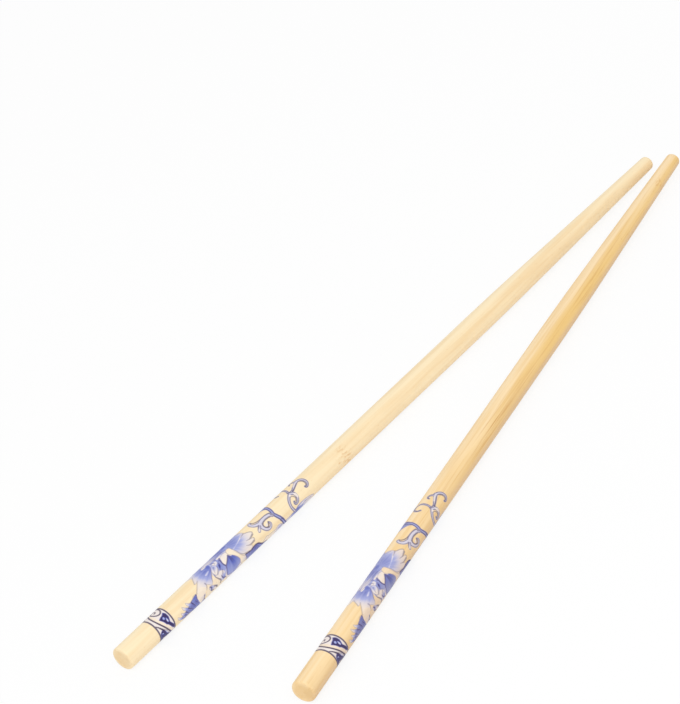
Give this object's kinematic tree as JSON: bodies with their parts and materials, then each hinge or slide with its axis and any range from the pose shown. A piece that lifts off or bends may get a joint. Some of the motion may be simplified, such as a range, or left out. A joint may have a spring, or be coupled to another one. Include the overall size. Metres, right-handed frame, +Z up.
{
  "type": "pair of bamboo chopsticks",
  "caption": "Round bamboo chopsticks with straight grips, long tapered tips and a traditional blue floral print, laid as an open V.",
  "frame": {"origin": "on the table, under the middle of the pair's bounding box", "axes": "+Z up from the table, +Y from the butts to the tips along the middle of the V, +X to the right seen from the butts"},
  "size_m": [0.0644, 0.2421, 0.0069],
  "materials": {
    "pale_bamboo": "turned, sanded and lightly waxed bamboo with a printed grip",
    "warm_bamboo": "turned, sanded and lightly waxed bamboo with a printed grip"
  },
  "bodies": {
    "root": {"chopstick_left": "pale_bamboo", "chopstick_right": "warm_bamboo"}
  },
  "joints": []
}
